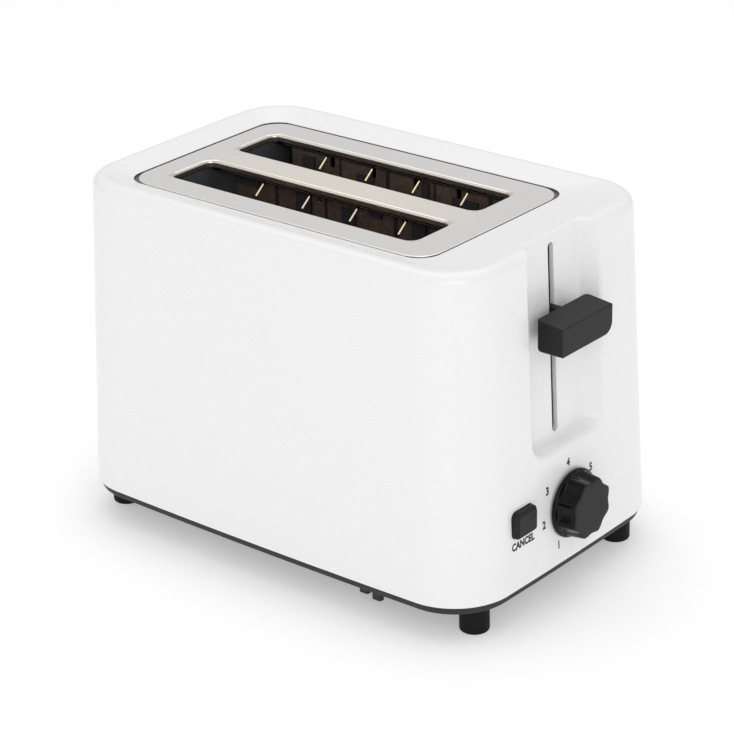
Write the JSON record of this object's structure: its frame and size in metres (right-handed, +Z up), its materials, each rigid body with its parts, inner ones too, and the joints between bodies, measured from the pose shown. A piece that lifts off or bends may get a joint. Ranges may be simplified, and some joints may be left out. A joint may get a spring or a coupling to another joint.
{
  "type": "pop up toaster",
  "caption": "Pop-up bread toaster: tapered moulded housing with steel top plate, side lever in a recessed channel, browning dial, cancel button and crumb tray.",
  "frame": {"origin": "middle of the underside of the whole box, on the surface that the four feet stand on", "axes": "+X towards the end with the lever and dial, -Y the plain long side, +Z up"},
  "size_m": [0.2503, 0.156, 0.1702],
  "materials": {
    "white_shell": "smooth satin gloss",
    "satin_steel": "fine satin",
    "black_plastic": "fine spark texture",
    "satin_black": "satin",
    "dial_black": "gloss sides, matte face",
    "black_rubber": "matte",
    "plain_steel": "rolled",
    "inner_steel": "aluminised sheet",
    "polished_steel": "polished",
    "mica": "pressed mica",
    "ribbon": "oxidised ribbon",
    "guard_wire": "plated wire",
    "copper_winding": "enamelled copper",
    "board_green": "solder mask",
    "part_black": "moulded",
    "brass": "plain",
    "block_white": "moulded"
  },
  "bodies": {
    "housing": {"housing_shell": "white_shell", "top_plate": "satin_steel", "base_pan": "black_plastic", "cord_gland": "black_rubber", "feet": "black_rubber", "end_frame_far": "inner_steel", "end_frame_lever": "inner_steel", "reflector_front": "inner_steel", "reflector_rear": "inner_steel", "heater_board_front": "mica", "heater_board_centre": "mica", "heater_board_rear": "mica", "heating_ribbon_front": "ribbon", "heating_ribbon_centre": "ribbon", "heating_ribbon_rear": "ribbon", "guard_wires_front": "guard_wire", "guard_wires_rear": "guard_wire", "guide_rod": "polished_steel", "return_spring": "polished_steel", "magnet_core": "plain_steel", "magnet_coil": "copper_winding", "circuit_board": "board_green", "timer_parts": "part_black", "browning_pot": "polished_steel", "cancel_switch": "part_black", "switch_contacts": "brass", "terminal_block": "block_white", "base_screws": "polished_steel", "frame_screws": "polished_steel", "board_screws": "polished_steel"},
    "carriage": {"bread_rack_front": "plain_steel", "bread_rack_rear": "plain_steel", "carriage_bracket": "plain_steel", "lever_arm": "plain_steel", "lever_knob": "satin_black", "armature_plate": "plain_steel"},
    "dial": {"dial_knob": "dial_black", "dial_shaft": "polished_steel"},
    "cancel": {"cancel_button": "satin_black"},
    "tray": {"crumb_tray": "plain_steel", "tray_handle": "black_plastic"}
  },
  "joints": [
    {"name": "lever_slide", "type": "slide", "parent": "housing", "child": "carriage", "axis": [0, 0, 1], "range_m": [-0.043, 0.02], "stiffness_N_per_m": 250, "deforming": ["return_spring"]},
    {"name": "dial_turn", "type": "hinge", "parent": "housing", "child": "dial", "pos_m": [0.1147, 0, 0.0443], "axis": [1, 0, 0], "range_deg": [-102, 92]},
    {"name": "cancel_push", "type": "slide", "parent": "housing", "child": "cancel", "axis": [-1, 0, 0], "range_m": [0, 0.0015], "stiffness_N_per_m": 600},
    {"name": "tray_pull", "type": "slide", "parent": "housing", "child": "tray", "axis": [-1, 0, 0], "range_m": [0, 0.155]}
  ]
}
